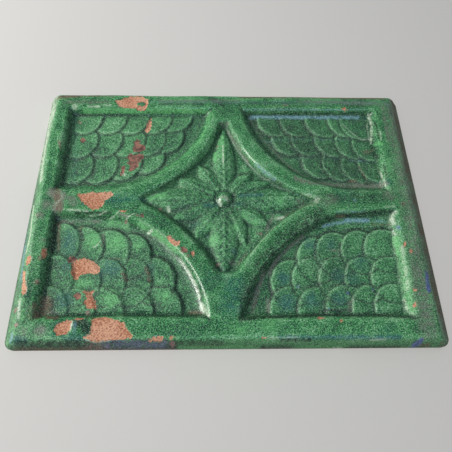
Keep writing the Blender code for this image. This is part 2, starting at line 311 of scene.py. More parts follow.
# Lines along the edge of a scale: how far inside it they lie and how wide they are.
LIP_LINE = (1.2, 0.7)
# The rim line is partly wear and partly a painted highlight; the gap line is a painted shade just outside a
# scale's edge.
RIM_LINE = (0.9, 0.6)
GAP_LINE = (-0.5, 0.6)
# How far the free edges of each scale are from the middle lines of the mould.
FREE_EDGES = {
    FAR_LEFT: (
        (82, 52), (66, 52), (51, 52), (36, 52.5), (22, 54.5),
        (83.5, 33), (67.5, 34), (52.5, 34), (39.5, 35), (27.5, 37.5),
        (84, 14), (68.5, 14), (53.5, 17), (39, 21.5),
    ),
    FAR_RIGHT: (
        (77, 49), (69, 50.5), (53.5, 50.5), (36.5, 50.5), (21, 51),
        (83, 31.5), (72, 33), (58.5, 34.5), (43, 35), (30, 36),
        (85, 15), (74, 14.5), (62, 16), (49, 17.5),
    ),
    NEAR_LEFT: (
        (85, 12.5), (71.5, 15), (56.5, 17), (44, 20),
        (86, 33), (71, 35), (57, 35.5), (42.5, 36), (29, 35),
        (87, 51.5), (72, 53), (56.5, 52.5), (40.5, 53), (24.5, 52),
    ),
    NEAR_RIGHT: (
        (81, 16.5), (67, 17.5), (52, 19), (40.5, 22.5),
        (82.5, 34.5), (67, 34.5), (52, 34.5), (36.5, 35), (24.5, 36.5),
        (82, 51.5), (69, 52), (54.5, 51.5), (39, 52.5), (23.5, 52.5),
    ),
}

scale_rim_wear_and_highlight = np.zeros_like(plan_x)
scale_gap_shade = np.zeros_like(plan_x)
for place, corners in FREE_EDGES.items():
    for free_x, free_y in reversed(corners):
        x = place[0] * pattern_x - free_x - SCALE_RADIUS_X
        y = place[1] * pattern_y - free_y - SCALE_RADIUS_Y
        reach = np.hypot(x / SCALE_RADIUS_X, y / SCALE_RADIUS_Y)
        inside = (1 - reach) * SCALE_RADIUS_X
        to_middle = -(place[0] * x + place[1] * y) / np.maximum(np.hypot(x, y), 0.1) / math.sqrt(2)
        edge = SCALE_EDGE * (1 + WORN_EDGE * np.clip(to_middle, 0, 1) * (place == FAR_LEFT))
        top = panel_floor + SCALE_HEIGHT - SCALE_STEP[place] * (x / SCALE_PITCH_X + y / SCALE_PITCH_Y)
        top += SCALE_CROWN * (1 - reach ** 2) + SCALE_LIP * swell(inside, *LIP_LINE)
        top -= SCALE_DROP * (1 - smooth_step(inside / edge + SCALE_FOOT))
        top -= SCALE_SINK_DEPTH * (1 - smooth_step(from_frame / SCALE_SINK))
        raised = (top > relief) & (inside > -SCALE_EDGE) & (in_panel > SCALE_MARGIN)
        relief = np.where(raised, top, relief)
        # A painted highlight along the rim of each scale and a painted shade in the gap outside it.
        near_edge = np.where(in_panel > TINT_MARGIN, swell(inside, *RIM_LINE), 0)
        outside = np.where(in_panel > TINT_MARGIN, swell(inside, *GAP_LINE), 0)
        scale_rim_wear_and_highlight = np.where(raised, near_edge, scale_rim_wear_and_highlight)
        scale_gap_shade = np.where(inside > GAP_END, 0, np.maximum(scale_gap_shade, outside))

# The rosette: four long ridged leaves to the tips of the field, two rounder lobes between each two.
# A round boss is pressed in the middle, where the leaves meet. Each leaf is its angle, reach and width.
BOSS_MIDDLE = (-1.4, 3.2)
BOSS_RADIUS = 5.2
BOSS_HEIGHT = 4.7
BOSS_GROOVE = 0.8
BOSS_GROOVE_LINE = (0.7, 0.9)
LEAF_ROOT = 2.0
LEAF_RIDGE = 0.5
RIDGE_LINE = (0, 0.8)
RIDGE_GROOVE = 0.2
RIDGE_GROOVE_LINE = (1.6, 0.7)
VEIN_HEIGHT = 0.26
VEIN_SLANT = 1.3
LEAF_FOOT = 0.6
LEAF_ROUGHNESS = 0.4
LONG_LEAF_HEIGHT = 3.2
LONG_VEIN_PITCH = 4.6
LONG_LEAVES = ((0, 57, 17), (90, 56, 15), (180, 54, 17), (-90, 52, 17))
LOBE_HEIGHT = 2.7
LOBE_VEIN_PITCH = 3.6
LOBES = (
    (48, 27, 12), (24, 33, 13), (-34, 33, 13), (-68, 33, 13),
    (124, 31, 13), (154, 36, 14), (204, 35, 14), (237, 33, 14),
)

from_middle_x, from_middle_y = pattern_x - BOSS_MIDDLE[0], pattern_y - BOSS_MIDDLE[1]
leaves = np.full_like(plan_x, field_floor)


def press_leaf(leaves, angle, reach, width, height, vein_pitch):
    """Adds a pointed leaf with a ridge along its middle and slanting veins."""
    turn = math.radians(angle)
    forth = from_middle_x * math.cos(turn) + from_middle_y * math.sin(turn)
    aside = from_middle_y * math.cos(turn) - from_middle_x * math.sin(turn)
    share = np.clip((forth - LEAF_ROOT) / (reach - LEAF_ROOT), 0, 1)
    girth = np.sin(math.pi * share ** 0.8) ** 0.9
    spread = np.abs(aside) / np.maximum(girth * width / 2, 0.05)
    body = height * girth ** 0.4 * np.clip(1 - spread ** 2, 0, 1) ** 0.6
    body += LEAF_RIDGE * swell(aside, *RIDGE_LINE) * girth
    body -= RIDGE_GROOVE * swell(np.abs(aside), *RIDGE_GROOVE_LINE) * girth
    veins = VEIN_HEIGHT * np.cos(2 * math.pi * (forth - VEIN_SLANT * np.abs(aside)) / vein_pitch)
    leaf = field_floor + body + veins * np.clip(1 - spread, 0, 1)
    return np.where(spread < 1.0, np.maximum(leaves, leaf), leaves)


for angle, reach, width in LOBES:
    leaves = press_leaf(leaves, angle, reach, width, LOBE_HEIGHT, LOBE_VEIN_PITCH)
for angle, reach, width in LONG_LEAVES:
    leaves = press_leaf(leaves, angle, reach, width, LONG_LEAF_HEIGHT, LONG_VEIN_PITCH)
leaves += LEAF_ROUGHNESS * rough_waviness(plan_x, plan_y, 5, 51)
relief = np.where(in_field > 0, soft_max(relief, leaves, LEAF_FOOT), relief)
from_middle = np.hypot(from_middle_x, from_middle_y)
relief -= BOSS_GROOVE * swell(from_middle - BOSS_RADIUS, *BOSS_GROOVE_LINE)
boss = field_floor + BOSS_HEIGHT * np.sqrt(np.clip(1 - (from_middle / BOSS_RADIUS) ** 2.4, 0, 1))
relief = np.where(from_middle < BOSS_RADIUS, np.maximum(relief, boss), relief)

# The glaze: a lead glaze coloured with copper, fused on the face and over the leaning edges.
# It softens the relief, runs thick in the hollows and thin on the ridges, and has chipped off in places.
GLAZE_THICKNESS = 0.45
GLAZE_SOFTENING = 0.65
GLAZE_SPREAD = 0.55
HANDMADE_WANDER = 0.10
WIDE_HOLLOW = 2.2
FINE_HOLLOW = 0.9
cell = across[1] - across[0]


def blurred(values, size):
    """Values spread by a bell curve of this size in millimetres."""
    reach = int(math.ceil(3 * size / cell))
    weights = np.exp(-0.5 * (np.arange(-reach, reach + 1) * cell / size) ** 2)
    weights /= weights.sum()
    for axis in (0, 1):
        margin = [(0, 0), (0, 0)]
        margin[axis] = (reach, reach)
        padded = np.pad(values, margin, mode="edge")
        span = values.shape[axis]
        values = sum(
            weight * np.take(padded, range(start, start + span), axis)
            for start, weight in enumerate(weights)
        )
    return values


relief = (1 - GLAZE_SOFTENING) * relief + GLAZE_SOFTENING * blurred(relief, GLAZE_SPREAD)
relief += HANDMADE_WANDER * rough_waviness(plan_x, plan_y, 9, 11)
relief = np.minimum(relief, rim_height)
hollowness = blurred(relief, WIDE_HOLLOW) - relief
fine_hollowness = blurred(relief, FINE_HOLLOW) - relief

# The places where the glaze has come off: down to the orange clay, with an island of glaze left in one chip,
# or to a dark red skin. Each outline goes from picture pixel to picture pixel, a column and a row for each.
CHIP_EDGE = 0.6
CHIP_REACH = 0.3
CHIP_UNEVEN = 0.3
RUSTY_DEPTH = 0.6
NO_CHIP = -9.0
CHIPS = {
    "far rim": (
        115, 100, 120, 100, 128, 97, 133, 96, 143, 97, 148, 99, 148, 103, 147, 107, 144, 111, 137.5, 110,
        136, 108, 123, 108, 119, 106,
    ),
    "drop": (151.3, 117.8, 151.3, 125.3, 150, 130.3, 146.3, 132.8, 145, 130.3, 146.3, 125.3, 148.3, 120.3),
    "left bar": (
        77, 195, 80, 193, 89, 193, 92.5, 192, 100, 192.3, 110, 191.8, 113, 193.3, 112.5, 195.4, 109, 198.3,
        104, 201, 103.3, 204, 101.3, 207, 97.5, 208.8, 92.5, 209.6, 88.3, 207, 85.8, 204.6, 81.7, 201.7,
        79.6, 198,
    ),
    "left bar strip": (119, 211, 122, 209.8, 127.5, 210.4, 126, 212, 121, 212),
    "crescent": (
        71.7, 264, 75.8, 261, 80, 258, 85, 257.5, 90, 259.6, 95, 262.5, 99.2, 266.7, 99.6, 270.8,
        97.5, 273.8, 93.3, 273.8, 88.3, 273, 81.7, 274.2, 78.3, 275.8, 77.9, 278.8, 75, 279.6, 72.5, 277.5,
        71.3, 271.7,
    ),
    "fish": (
        82, 290.4, 93.8, 290.4, 91.7, 295, 95.4, 301.7, 96.3, 304, 95.4, 308.8, 87, 308.3, 84.2, 304,
        83.8, 301.7, 86.3, 296.7, 85, 293.8,
    ),
    "near oval": (
        54.2, 330, 55, 326.7, 59.2, 322.5, 65, 320.4, 71.7, 320, 71.3, 325.8, 69.2, 330.8, 65, 334.6,
        59.2, 335.8, 55.8, 334.2,
    ),
    "near strip": (73, 319.2, 77.5, 318.2, 83.3, 318, 83, 319.6, 77, 320),
    "near large": (
        91.5, 320, 96.5, 317.5, 103.3, 316.5, 111.7, 318.5, 120, 320.8, 124.2, 323, 125.4, 327.5,
        130, 331.7, 133, 335.4, 130.8, 338.3, 119, 339.6, 110, 339.6, 100.8, 341.3, 95, 341.7, 88.3, 340,
        81.7, 337.5, 85, 336.3, 89.2, 333.3, 90.8, 328.3,
    ),
    "near small": (
        146.7, 340.4, 151.7, 337, 158.3, 335.4, 162.5, 336.7, 163.8, 339.2, 160.8, 341.7, 153.3, 341.3,
    ),
    "near dot": (168.8, 337.5, 171, 335.4, 174.4, 336.5, 173.5, 338.6, 170, 338.8),
    "band": (
        167, 236.7, 170, 235, 172, 238.3, 175.8, 240.8, 180.4, 241.3, 179.2, 245, 175.8, 245.8, 171.7, 243,
        168.3, 240,
    ),
    "band speck": (192, 251, 194, 252, 193.5, 256, 191.5, 255),
    "left edge": (22.5, 271, 25, 272, 25.2, 284, 26.7, 289, 25, 294, 22, 296, 21.3, 292, 22.2, 280),
    "left border": (41, 251.4, 43.6, 247.5, 46.4, 248.4, 47.1, 254, 45, 259, 41.4, 258),
    "left edge, farther": (26.6, 258, 29, 256, 31.7, 258.6, 30, 262.6, 26.6, 265, 25.8, 262),
    "right border": (403.6, 243, 405.5, 241.5, 406.8, 244.5, 405, 247.5, 403.4, 246),
    "right border, nearer": (409.8, 249.6, 412.2, 249.6, 412.4, 252.2, 410.4, 253),
    "right border, third": (412.4, 288.6, 415.6, 288, 417, 290.4, 413.8, 291.6),
    "right border, fourth": (413, 303, 416, 301.6, 417.6, 305, 415.6, 308.4, 413.4, 306.4),
    "near lip": (317, 317, 320, 316.2, 324, 317.6, 321.4, 319.2, 318, 318.8),
    "near lip, right": (339, 320.6, 342, 319.8, 343.4, 322, 340.4, 322.6),
    "near ridge": (261.6, 337.6, 264.4, 336.4, 266.4, 338, 263.6, 339),
    "far dot": (341.6, 108.6, 345, 107.4, 347, 109.6, 343.6, 111),
}
ISLANDS = {
    "glaze left in the far rim chip": (136.7, 102.4, 144.6, 101.8, 145, 105.4, 137.4, 106),
}
RUSTY_CHIPS = {
    "under the drop": (
        129.5, 153, 133, 154.6, 138, 153.4, 143, 154, 143.4, 157.6, 140, 160, 138.4, 163, 138.2, 167,
        134, 168.6, 131, 171, 128.6, 170, 129.6, 165, 127.4, 162.6, 129, 160, 126.8, 157,
    ),
    "beside the drop": (
        133.4, 141, 137, 138.6, 139.8, 140.6, 139, 143.6, 145, 145.4, 145.4, 149, 140, 151.4, 134, 151.8,
        132.4, 148, 134.4, 145,
    ),
    "below the drop": (121.6, 166, 124.6, 165, 125, 169, 122.6, 174, 119.8, 176, 120.6, 171),
    "spot": (80, 138.4, 84, 137.5, 85.4, 140.6, 81.6, 142.4),
    "under the rim chip": (138.4, 107.4, 144, 106, 147, 106.6, 145.4, 110.6, 139.4, 110),
    "plum": (67.5, 259, 69.5, 256.7, 76, 256.7, 77.5, 259.4, 72, 263, 68.4, 262),
    "liver": (73, 294, 76, 292.5, 80.6, 292.8, 80.4, 297, 77.4, 300, 74, 297),
    "crimson on the band": (179, 246.4, 184, 247, 187.6, 250, 186.6, 253.6, 182, 252),
    "red dot on the bar": (141, 214.6, 143.4, 213.8, 144.2, 216.6, 142, 217.8),
}


def height_at(x, y):
    """Height of the relief at a place in the plan."""
    column = int(round((x + half_width) / (2 * half_width) * COLUMNS))
    row = int(round((y + half_depth) / (2 * half_depth) * ROWS))
    return relief[min(max(row, 0), ROWS), min(max(column, 0), COLUMNS)]


def on_tile(column, row):
    """Place in the plan that the picture shows at this pixel, on the relief itself."""
    height = rim_height
    for _ in range(4):
        x, y = seen_at(column, row, height)
        height = 0.5 * (height + height_at(x, y))
    return x, y


def places_at(pixels):
    """Places in the plan for a row of pixels, given as a column and a row for each."""
    return [on_tile(column, row) for column, row in zip(pixels[::2], pixels[1::2])]


def line_distance(start, end):
    """Distance from a straight line between two places in the plan."""
    side_x, side_y = end[0] - start[0], end[1] - start[1]
    x, y = plan_x - start[0], plan_y - start[1]
    share = np.clip((x * side_x + y * side_y) / max(side_x ** 2 + side_y ** 2, 1e-6), 0, 1)
    return np.hypot(x - side_x * share, y - side_y * share)


def outline_distance(corners):
    """Distance to a closed outline, positive inside it."""
    nearest = np.full_like(plan_x, FAR_AWAY)
    inside = np.zeros(plan_x.shape, bool)
    for start, end in zip(corners, corners[1:] + corners[:1]):
        nearest = np.minimum(nearest, line_distance(start, end))
        side_x, side_y = end[0] - start[0], end[1] - start[1]
        x, y = plan_x - start[0], plan_y - start[1]
        between = (start[1] > plan_y) != (end[1] > plan_y)
        inside ^= between & (x * side_y * np.sign(side_y) < side_x * y * np.sign(side_y))
    return np.where(inside, nearest, -nearest)


def chipped(outlines):
    """Distance inside the nearest of several chips."""
    distance = np.full_like(plan_x, NO_CHIP)
    for pixels in outlines.values():
        distance = np.maximum(distance, outline_distance(places_at(pixels)))
    return distance


bare = np.minimum(chipped(CHIPS), -chipped(ISLANDS))
rusty = chipped(RUSTY_CHIPS)
lost = smooth_step(bare / CHIP_EDGE + CHIP_REACH)
lost = np.maximum(lost, RUSTY_DEPTH * smooth_step(rusty / CHIP_EDGE + CHIP_REACH))
relief -= GLAZE_THICKNESS * lost * (1 + CHIP_UNEVEN * rough_waviness(plan_x, plan_y, 3, 21))

# The colours that run through the glaze and the stains and dirt on it, as soft strokes in several layers,
# along with painted shade, painted highlights and painted reflections in some of the layers.
# Each stroke has a strength, a reach in millimetres and then the picture pixels that it passes.
STROKES = {
    # Bright green glaze, and painted light on walls turned to the light.
    "bright_glaze_and_lit_walls": (
        (0.7, 1.6, 85, 110.5, 205, 110.5), (0.8, 1.5, 215, 153, 215, 160), (0.6, 3, 222, 138, 222, 155),
        (0.8, 5, 93, 240), (0.8, 6, 116, 243), (0.6, 4, 138, 245), (0.8, 5, 112, 298), (0.6, 5, 165, 297),
        (0.8, 4, 215, 240), (0.6, 4, 210, 225), (0.9, 2.2, 150, 198, 163, 196), (0.7, 3, 280, 200),
        (0.5, 3, 400, 245, 405, 275, 410, 300), (0.45, 2.5, 180, 345, 440, 345),
        (0.5, 2, 209, 113, 207, 125, 200, 140, 190, 150, 175, 163, 160, 172),
        (0.6, 2.4, 138, 223, 160, 237, 176, 250), (0.9, 1.5, 395, 238, 399, 252),
        (0.7, 1.5, 376, 144, 382, 144), (0.5, 2, 389, 160, 389, 170), (0.7, 3, 236, 228),
        (0.6, 3, 245, 215), (0.5, 6, 270, 325), (0.4, 5, 240, 330), (0.5, 2, 165, 99, 200, 99),
        (0.5, 1.6, 230, 100, 262, 99), (0.4, 1.6, 300, 99, 340, 100), (0.7, 1.6, 180, 347, 255, 347),
        (0.6, 1.4, 300, 346, 345, 346), (0.3, 4, 128, 203, 165, 191, 195, 170, 212, 140),
        (0.6, 1.5, 408, 300, 412, 312), (0.5, 3, 110, 222, 125, 225), (0.5, 3, 370, 240),
        (0.5, 3, 255, 222), (0.5, 2.5, 340, 240), (0.5, 2, 22, 300, 22, 318), (0.5, 3, 75, 284, 90, 282),
    ),
    "teal": (
        (0.3, 3, 75, 118, 75, 150, 72, 185), (0.6, 5, 70, 235, 68, 248), (0.6, 6, 64, 300),
        (0.5, 6, 68, 265), (0.6, 8, 110, 268), (0.4, 6, 150, 270), (0.6, 3, 65, 337, 85, 340),
        (0.9, 2.5, 16, 340, 24, 341), (0.5, 3, 108, 201, 142, 200), (0.35, 4, 114, 196, 135, 196),
        (0.5, 8, 236, 285, 232, 305), (0.45, 3, 240, 295, 240, 310), (0.8, 4, 283, 278),
        (0.9, 5, 287, 302), (0.7, 5, 312, 300), (0.6, 5, 340, 298), (0.6, 5, 338, 275), (0.6, 5, 310, 245),
        (0.5, 5, 330, 245), (0.5, 6, 360, 262), (0.5, 5, 352, 278), (0.6, 3, 388, 182),
        (0.7, 1.5, 280, 337, 330, 337, 400, 337), (0.4, 8, 345, 195), (0.7, 1.6, 240, 195.5, 262, 195),
        (0.6, 2, 205, 205, 216, 205), (0.6, 2, 234, 204, 240, 204), (0.4, 8, 60, 330), (0.3, 8, 385, 330),
        (0.6, 1.5, 27, 215, 20, 285), (0.4, 5, 255, 290), (0.25, 10, 205, 280, 230, 275),
        (0.5, 1.4, 190, 226, 200, 222),
    ),
    # Mostly painted shade on walls, scale edges and hollows turned from the light, with some dark glaze and
    # dirt.
    "painted_shade_and_dark_glaze": (
        (0.42, 26, 285, 130, 350, 170), (0.34, 20, 330, 270), (0.55, 3, 212, 99, 222, 104),
        (0.45, 1.2, 160, 104, 205, 104), (0.45, 1.4, 245, 103, 300, 103), (0.55, 1.4, 262, 347, 292, 347),
        (0.55, 1.2, 350, 347, 400, 347), (0.25, 14, 225, 180), (0.28, 16, 225, 215),
        (0.5, 7, 246, 300, 258, 268, 285, 238, 320, 212), (0.42, 6, 318, 199, 390, 196),
        (0.3, 2.2, 70, 112, 69, 140, 63, 180), (0.7, 0.8, 75, 115, 130, 115),
        (0.6, 0.7, 103, 118, 98, 130), (0.5, 0.6, 125, 117, 127, 125), (0.5, 0.6, 98, 138, 98, 150),
        (0.5, 0.6, 122, 136, 123, 147), (0.5, 0.7, 93, 160, 94, 170, 91, 178),
        (0.5, 0.7, 118, 160, 118, 168, 108, 182), (0.6, 0.9, 70, 187, 88, 182),
        (0.6, 0.9, 100, 183, 110, 180), (0.5, 0.8, 130, 180, 142, 172), (0.4, 0.7, 77, 161, 84, 159),
        (0.6, 1, 143, 160, 143, 168),
        (0.5, 0.8, 218, 128, 215, 140, 208, 153, 200, 162, 190, 170, 175, 180, 160, 188),
        (0.6, 1.5, 240, 174, 250, 174), (0.4, 1.6, 243, 113.5, 300, 113.5, 365, 113.5),
        (0.6, 0.8, 375, 122, 379, 138), (0.7, 1.5, 372, 152, 378, 157), (0.6, 0.8, 384, 165, 387, 178),
        (0.6, 0.6, 241, 108, 247, 118, 256, 135, 266, 148, 280, 160), (0.5, 1.2, 268, 179, 283, 186),
        (0.6, 0.7, 389, 105, 396, 135),
        (0.62, 1.4, 262, 268, 272, 254, 290, 240, 302, 229, 320, 219, 340, 215.5, 365, 213, 392, 211),
        (0.55, 1, 262, 268, 250, 290, 243, 310, 240, 322),
        (0.8, 1.4, 243, 319, 262, 317, 300, 316, 330, 314.5, 350, 315, 385, 315, 417, 317.5),
        (0.6, 0.7, 320, 233, 316, 240, 315, 248, 322, 259),
        (0.6, 0.7, 300, 259, 310, 257, 322, 260, 330, 257, 345, 257),
        (0.6, 0.8, 324, 233, 340, 231, 350, 229, 372, 227, 395, 228), (0.8, 1, 375, 229, 383, 227),
        (0.6, 0.7, 348, 260, 356, 257, 365, 255, 376, 260, 382, 257, 395, 255),
        (0.5, 0.7, 367, 240, 372, 232), (0.5, 0.7, 275, 291, 283, 287),
        (0.6, 0.7, 300, 288, 308, 286, 320, 287), (0.6, 0.7, 330, 286, 345, 283),
        (0.6, 0.7, 341, 284, 355, 286, 365, 283, 372, 285, 378, 288, 385, 282, 397, 281),
        (0.7, 0.9, 270, 285, 271, 300), (0.6, 0.8, 297, 300, 298, 310), (0.7, 1, 320, 310.5, 345, 310),
        (0.5, 1.2, 271, 208, 284, 213), (0.6, 0.8, 300, 208, 312, 203),
        (0.6, 1.2, 234, 190, 234, 205, 231, 213), (0.6, 0.7, 241, 219, 252, 226),
        (0.6, 2.4, 57, 216, 54, 232, 51, 250), (0.3, 2.4, 49, 262, 46, 290), (0.7, 0.7, 75, 213, 112, 212),
        (0.7, 1, 80, 228, 83, 240), (0.6, 0.7, 98, 226, 104, 232, 105, 248),
        (0.6, 0.7, 108, 230, 120, 230, 129, 238, 131, 247), (0.5, 0.7, 140, 233, 150, 240, 152, 252),
        (0.5, 0.6, 62, 253, 72, 255), (0.6, 0.8, 118, 261, 126, 270), (0.6, 1.3, 123, 273, 125, 280),
        (0.7, 1.5, 147, 268, 149, 281), (0.6, 1.1, 160, 257, 171, 266, 175, 282),
        (0.6, 0.8, 105, 288, 118, 295, 123, 308), (0.5, 0.8, 138, 290, 150, 300, 154, 310),
        (0.7, 0.8, 150, 286, 168, 287, 180, 298, 182, 309), (0.5, 1.4, 60, 315, 110, 314),
        (0.6, 1.4, 125, 315, 206, 316), (1, 0.6, 209, 319, 210.5, 319.5), (0.8, 0.8, 90, 343, 118, 341.5),
        (0.5, 2, 170, 343, 222, 343),
        (0.3, 0.8, 140, 200, 160, 210, 180, 226, 195, 240, 205, 252, 211, 264),
        (0.3, 0.8, 140, 197, 165, 190), (0.95, 2.6, 77, 322, 84, 321, 86, 329),
        (0.6, 0.8, 89.6, 322, 88, 333),
        (0.8, 1.2, 408, 160, 417, 193, 425, 226, 434, 264, 442, 300, 446, 330),
        (0.6, 2.6, 20, 345, 172, 345), (0.25, 2.6, 180, 345, 440, 345), (0.25, 5, 262, 255, 300, 222),
        (0.6, 1, 282, 340.5, 310, 340), (0.95, 1.9, 50, 303, 52, 312, 57, 317),
        (0.5, 2.2, 40, 306, 39, 314), (0.5, 1.2, 213, 268, 218, 274),
    ),
    "grey": (
        (0.45, 1.3, 233, 135, 240, 150, 248, 162), (0.65, 2.2, 296, 178, 306, 182, 340, 184.5, 385, 184),
        (0.5, 1.2, 250, 118, 262, 138, 275, 152, 290, 166, 306, 177),
        (0.5, 7, 392, 108, 409, 200, 428, 330), (0.4, 1.6, 228, 132, 234, 142),
        (0.7, 1.1, 303, 236, 287, 249, 275, 262, 268, 275), (0.6, 1.6, 264, 272, 257, 293, 252, 312),
        (0.6, 1.5, 266, 230, 273, 216), (0.5, 2, 258, 232), (0.6, 1, 103, 234, 102, 246),
        (0.5, 1.4, 62, 221, 100, 221), (0.6, 4, 46, 205), (0.5, 3, 40, 215), (0.5, 2, 135, 146),
        (0.6, 4, 40, 330), (0.4, 3, 24, 333), (0.4, 1.6, 221, 124, 228, 124), (0.6, 2.5, 232, 262),
        (0.5, 1, 330, 250, 342, 250), (0.7, 1.8, 415, 192, 420, 215, 425, 235),
        (0.5, 1.8, 434, 280, 443, 325), (0.5, 2, 43, 240), (0.95, 3.4, 53, 192, 61, 196, 57, 207),
        (0.6, 3, 70, 198, 74, 203), (0.42, 2.5, 66, 102, 108, 102), (0.42, 2, 160, 101, 240, 101),
        (0.45, 2.4, 300, 101, 385, 104), (0.55, 2.4, 165, 345, 95, 345), (0.5, 2, 74, 200),
        (0.4, 2, 350, 301, 349, 310), (0.5, 1.6, 268, 300, 268, 310), (0.4, 6, 330, 200),
        (0.5, 1.4, 120, 214.5, 127, 216), (0.5, 2, 382, 105, 389, 140), (0.5, 5, 390, 195),
        (0.5, 4, 300, 203), (0.6, 1.6, 392, 215),
    ),
    "brown": (
        (0.75, 3.6, 46, 301, 44, 311), (0.65, 3.4, 37, 307, 35, 315), (0.7, 1.6, 48, 317, 56, 318),
        (0.8, 1.4, 56, 99, 62, 97, 82, 95.6), (0.6, 0.8, 62, 96, 115, 96), (0.7, 1, 78, 121),
        (0.6, 1, 240, 97.4, 300, 97.4, 385, 99), (0.7, 0.6, 302, 97.7),
        (0.45, 0.7, 317, 203, 300, 209, 288, 213, 280, 220), (0.8, 1.2, 423, 226, 426, 238, 432, 264),
        (0.6, 1, 438, 284, 446, 330), (0.5, 0.8, 372, 224, 390, 224), (0.8, 2.6, 57, 191, 59, 208),
        (0.6, 1.2, 59, 223, 58, 250), (0.6, 1.2, 392, 100, 397, 120, 401, 140),
        (0.4, 0.8, 108, 258, 125, 258.5), (0.3, 1.2, 247, 252, 238, 264), (0.7, 1, 80, 229, 82, 226),
        (0.5, 1.4, 122, 272, 126, 280), (0.5, 1.4, 146, 268, 150, 280), (0.6, 1, 420, 345, 430, 345),
        (0.5, 1.4, 205, 312, 190, 312), (0.6, 0.9, 350, 181, 356, 181), (0.5, 0.6, 359, 166, 369, 184),
        (0.5, 2, 365, 152, 372, 150), (0.6, 0.8, 15, 349, 170, 349), (0.5, 0.8, 335, 216.5, 345, 215.5),
        (0.4, 2.5, 404, 204),
    ),
    # Pale glaze where it ran thin, and painted highlights and glints on lips, bands, edges and the boss.
    "pale_glaze_and_highlights": (
        (0.3, 1.4, 60, 190, 62, 197), (0.35, 1.2, 55, 205, 60, 200),
        (0.9, 1.4, 53, 105, 48, 125, 45, 145, 42, 165, 40.5, 180), (0.8, 0.5, 88, 106.5, 100, 106.5),
        (0.7, 0.5, 104, 105, 111, 105), (0.9, 1.8, 75, 106), (0.7, 0.9, 121, 172, 125, 175),
        (0.5, 0.5, 203, 167, 209, 173), (0.7, 0.5, 223, 145, 223, 165),
        (0.55, 0.8, 368, 113, 372, 125, 371, 143), (0.5, 0.6, 367, 124, 369, 140),
        (0.6, 0.5, 380, 130, 381, 140), (0.6, 0.5, 380, 170, 386, 187),
        (0.6, 0.5, 342, 123, 350, 131, 361, 139.5, 367, 139),
        (0.12, 2.4, 138, 223, 160, 237, 176, 250, 186, 264),
        (0.7, 0.8, 180, 258, 189, 272, 196, 285, 200, 298), (1, 1.5, 201, 305, 204.5, 310),
        (0.8, 0.7, 206, 312, 209, 316), (1, 0.6, 150, 230.5, 152, 230.5),
        (1, 0.6, 147.5, 233.3, 150, 233.3), (0.7, 0.9, 33, 205, 30, 235, 26, 252),
        (0.8, 0.9, 19.5, 300, 18, 318), (0.7, 0.4, 106.7, 210.8, 100, 215, 90, 215.8),
        (0.7, 0.4, 120, 210.8, 115.8, 215, 110, 218.8), (0.7, 0.4, 134.2, 213.3, 129.2, 215.8, 125.8, 220),
        (0.6, 0.4, 92, 247, 96, 246, 100, 241), (0.6, 0.6, 68, 209.5, 88, 211),
        (0.4, 2.4, 222, 197, 227, 199), (0.9, 0.9, 219.6, 200, 220.4, 205), (0.7, 1, 168, 207, 169, 211),
        (0.6, 0.4, 250, 256, 262, 240, 275, 226), (0.6, 0.5, 302, 193, 313, 197, 320, 199),
        (0.4, 1.6, 402, 246, 405, 267, 408, 290), (0.5, 0.5, 411, 148, 419, 186),
        (0.5, 0.5, 424, 208, 431, 240), (0.45, 0.5, 437, 268, 443, 296),
        (0.5, 0.9, 404, 300, 408, 310, 413, 315), (0.3, 0.5, 341, 250, 342, 243, 347, 235),
        (0.3, 0.5, 365, 248, 368, 240), (0.3, 0.5, 319, 268, 319, 282), (0.3, 0.5, 345, 275, 348, 264),
        (0.3, 0.5, 372, 276, 374, 266), (0.4, 0.6, 379, 293, 375, 303, 377, 311),
        (0.35, 0.6, 353, 296, 353, 311), (0.7, 1.1, 396, 212, 391, 218, 394, 224),
        (0.6, 0.8, 393, 231, 396, 235), (0.6, 0.5, 370, 339.8, 386, 339.8),
        (0.5, 0.5, 332, 347.6, 342, 347.6), (0.6, 1.2, 276, 218, 283, 217), (0.5, 0.7, 385, 207, 395, 206),
        (0.5, 2, 316, 201), (0.8, 0.6, 69.6, 331, 71.6, 321),
        (0.6, 0.5, 84, 338.6, 92, 341.6, 104, 341.6, 110, 340.2), (0.4, 0.6, 268, 338, 300, 337),
        (0.7, 1, 79, 270.6, 83, 270.6),
    ),
    # Painted reflections of the sky: pale blue on slopes, rims and glints.
    "sky_reflection": (
        (0.45, 0.5, 243, 109.7, 365, 109.7), (0.6, 1.5, 252, 117, 358, 117.5),
        (0.22, 3, 130, 102, 385, 103), (0.5, 1, 249, 118, 256, 118),
        (0.5, 1, 256, 164, 265, 172, 275, 179), (0.8, 1.4, 345, 220.5, 368, 220),
        (0.6, 1.1, 323, 226, 335, 223, 348, 221), (0.5, 0.5, 336, 212, 365, 211),
        (0.4, 1.2, 375, 221, 385, 221), (0.6, 0.9, 24, 245, 20, 280), (0.7, 1.2, 12, 334, 10, 341),
        (0.3, 0.5, 112, 206.5, 130, 207), (0.5, 0.5, 113, 197, 119, 195), (0.4, 1.5, 75, 322, 74, 331),
        (0.35, 0.6, 335, 338, 375, 338, 395, 338), (0.25, 1.2, 255, 138.8, 300, 138.8, 350, 139.4),
        (0.2, 1, 292, 158, 345, 158), (0.35, 1, 350, 160, 368, 161), (0.3, 0.6, 280, 337, 298, 337),
        (0.4, 1.6, 355, 200), (0.5, 1.2, 298, 286), (0.6, 0.7, 329, 308),
    ),
    "rose": (
        (0.5, 2, 37, 215), (0.5, 2, 37, 282), (0.7, 1.6, 15, 310), (0.9, 1.2, 16, 325),
        (0.35, 2.2, 88, 347, 108, 347), (0.8, 1.5, 172, 344), (0.25, 0.7, 272, 349, 320, 348.6),
        (0.5, 0.8, 136, 215, 142, 216), (0.6, 1.2, 126, 222), (0.6, 1.8, 184, 250), (0.5, 1.2, 188, 256),
